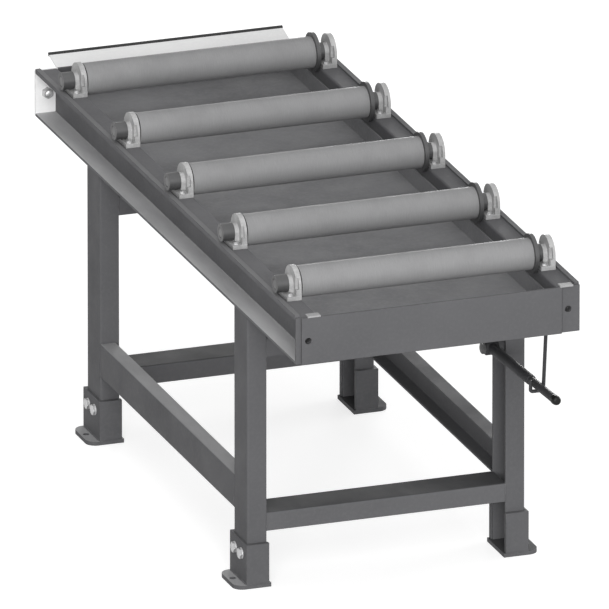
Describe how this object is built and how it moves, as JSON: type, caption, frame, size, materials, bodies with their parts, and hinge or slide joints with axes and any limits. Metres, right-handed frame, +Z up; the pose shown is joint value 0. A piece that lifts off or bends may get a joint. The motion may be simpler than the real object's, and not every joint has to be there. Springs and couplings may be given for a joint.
{
  "type": "roller stand",
  "caption": "Long welded stand of dark channel steel with freely turning rollers over a shallow drip tray, sliding levelling feet, a rear apron and a side lever on a hook.",
  "frame": {"origin": "on the floor, under the centre of the stand's overall box", "axes": "+X to the stand's right as seen from the front end, +Y from the front end (knob) to the rear end (apron), +Z up"},
  "size_m": [0.6, 1.575, 0.688],
  "materials": {
    "frame_paint": "satin anthracite",
    "white_paint": "satin white",
    "trim_rubber": "matte",
    "zinc_steel": "zinc plated",
    "tube_steel": "satin grey",
    "shaft_steel": "turned",
    "dark_steel": "blackened",
    "block_alloy": "cast, satin",
    "bush_bronze": "turned",
    "black_paint": "satin black",
    "knob_plastic": "moulded"
  },
  "bodies": {
    "frame": {"left_rail": "frame_paint", "right_rail": "frame_paint", "front_plate": "frame_paint", "front_end_plates": "frame_paint", "rear_plate": "frame_paint", "rear_end_plates": "white_paint", "locating_tabs": "zinc_steel", "tray": "frame_paint", "rear_apron": "white_paint", "apron_edge_trim": "trim_rubber", "leg_front_left": "frame_paint", "leg_front_right": "frame_paint", "leg_rear_left": "frame_paint", "leg_rear_right": "frame_paint", "lower_bar_front": "frame_paint", "lower_bar_rear": "frame_paint", "upper_bar_front": "frame_paint", "upper_bar_rear": "frame_paint", "stretcher_left": "frame_paint", "stretcher_right": "frame_paint", "bearing_blocks_1": "block_alloy", "bearing_blocks_2": "block_alloy", "bearing_blocks_3": "block_alloy", "bearing_blocks_4": "block_alloy", "bearing_blocks_5": "block_alloy", "bearing_bushes": "bush_bronze", "block_bolts": "zinc_steel", "pivot_boss": "frame_paint", "pivot_bolt": "zinc_steel", "lever_hook": "black_paint"},
    "roller_1": {"roller_tube_1": "tube_steel", "roller_end_discs_1": "dark_steel", "roller_shaft_1": "shaft_steel", "lock_collars_1": "dark_steel"},
    "roller_2": {"roller_tube_2": "tube_steel", "roller_end_discs_2": "dark_steel", "roller_shaft_2": "shaft_steel", "lock_collars_2": "dark_steel"},
    "roller_3": {"roller_tube_3": "tube_steel", "roller_end_discs_3": "dark_steel", "roller_shaft_3": "shaft_steel", "lock_collars_3": "dark_steel"},
    "roller_4": {"roller_tube_4": "tube_steel", "roller_end_discs_4": "dark_steel", "roller_shaft_4": "shaft_steel", "lock_collars_4": "dark_steel"},
    "roller_5": {"roller_tube_5": "tube_steel", "roller_end_discs_5": "dark_steel", "roller_shaft_5": "shaft_steel", "lock_collars_5": "dark_steel"},
    "foot_front_left": {"foot_front_left": "frame_paint", "clamp_screws_front_left": "zinc_steel"},
    "foot_front_right": {"foot_front_right": "frame_paint", "clamp_screws_front_right": "zinc_steel"},
    "foot_rear_left": {"foot_rear_left": "frame_paint", "clamp_screws_rear_left": "zinc_steel"},
    "foot_rear_right": {"foot_rear_right": "frame_paint", "clamp_screws_rear_right": "zinc_steel"},
    "lever": {"lever_arm": "black_paint", "lever_knob": "knob_plastic"}
  },
  "joints": [
    {"name": "roller_1_spin", "type": "hinge", "parent": "frame", "child": "roller_1", "pos_m": [0, -0.6075, 0.65], "axis": [1, 0, 0], "continuous": true},
    {"name": "roller_2_spin", "type": "hinge", "parent": "frame", "child": "roller_2", "pos_m": [0, -0.3075, 0.65], "axis": [1, 0, 0], "continuous": true},
    {"name": "roller_3_spin", "type": "hinge", "parent": "frame", "child": "roller_3", "pos_m": [0, -0.0075, 0.65], "axis": [1, 0, 0], "continuous": true},
    {"name": "roller_4_spin", "type": "hinge", "parent": "frame", "child": "roller_4", "pos_m": [0, 0.2925, 0.65], "axis": [1, 0, 0], "continuous": true},
    {"name": "roller_5_spin", "type": "hinge", "parent": "frame", "child": "roller_5", "pos_m": [0, 0.5925, 0.65], "axis": [1, 0, 0], "continuous": true},
    {"name": "foot_front_left_slide", "type": "slide", "parent": "frame", "child": "foot_front_left", "axis": [0, 0, 1], "range_m": [-0.05, 0]},
    {"name": "foot_front_right_slide", "type": "slide", "parent": "frame", "child": "foot_front_right", "axis": [0, 0, 1], "range_m": [-0.05, 0]},
    {"name": "foot_rear_left_slide", "type": "slide", "parent": "frame", "child": "foot_rear_left", "axis": [0, 0, 1], "range_m": [-0.05, 0]},
    {"name": "foot_rear_right_slide", "type": "slide", "parent": "frame", "child": "foot_rear_right", "axis": [0, 0, 1], "range_m": [-0.05, 0]},
    {"name": "lever_lift", "type": "hinge", "parent": "frame", "child": "lever", "pos_m": [0.2145, -0.4265, 0.406], "axis": [-1, 0, 0], "range_deg": [0, 16]}
  ]
}
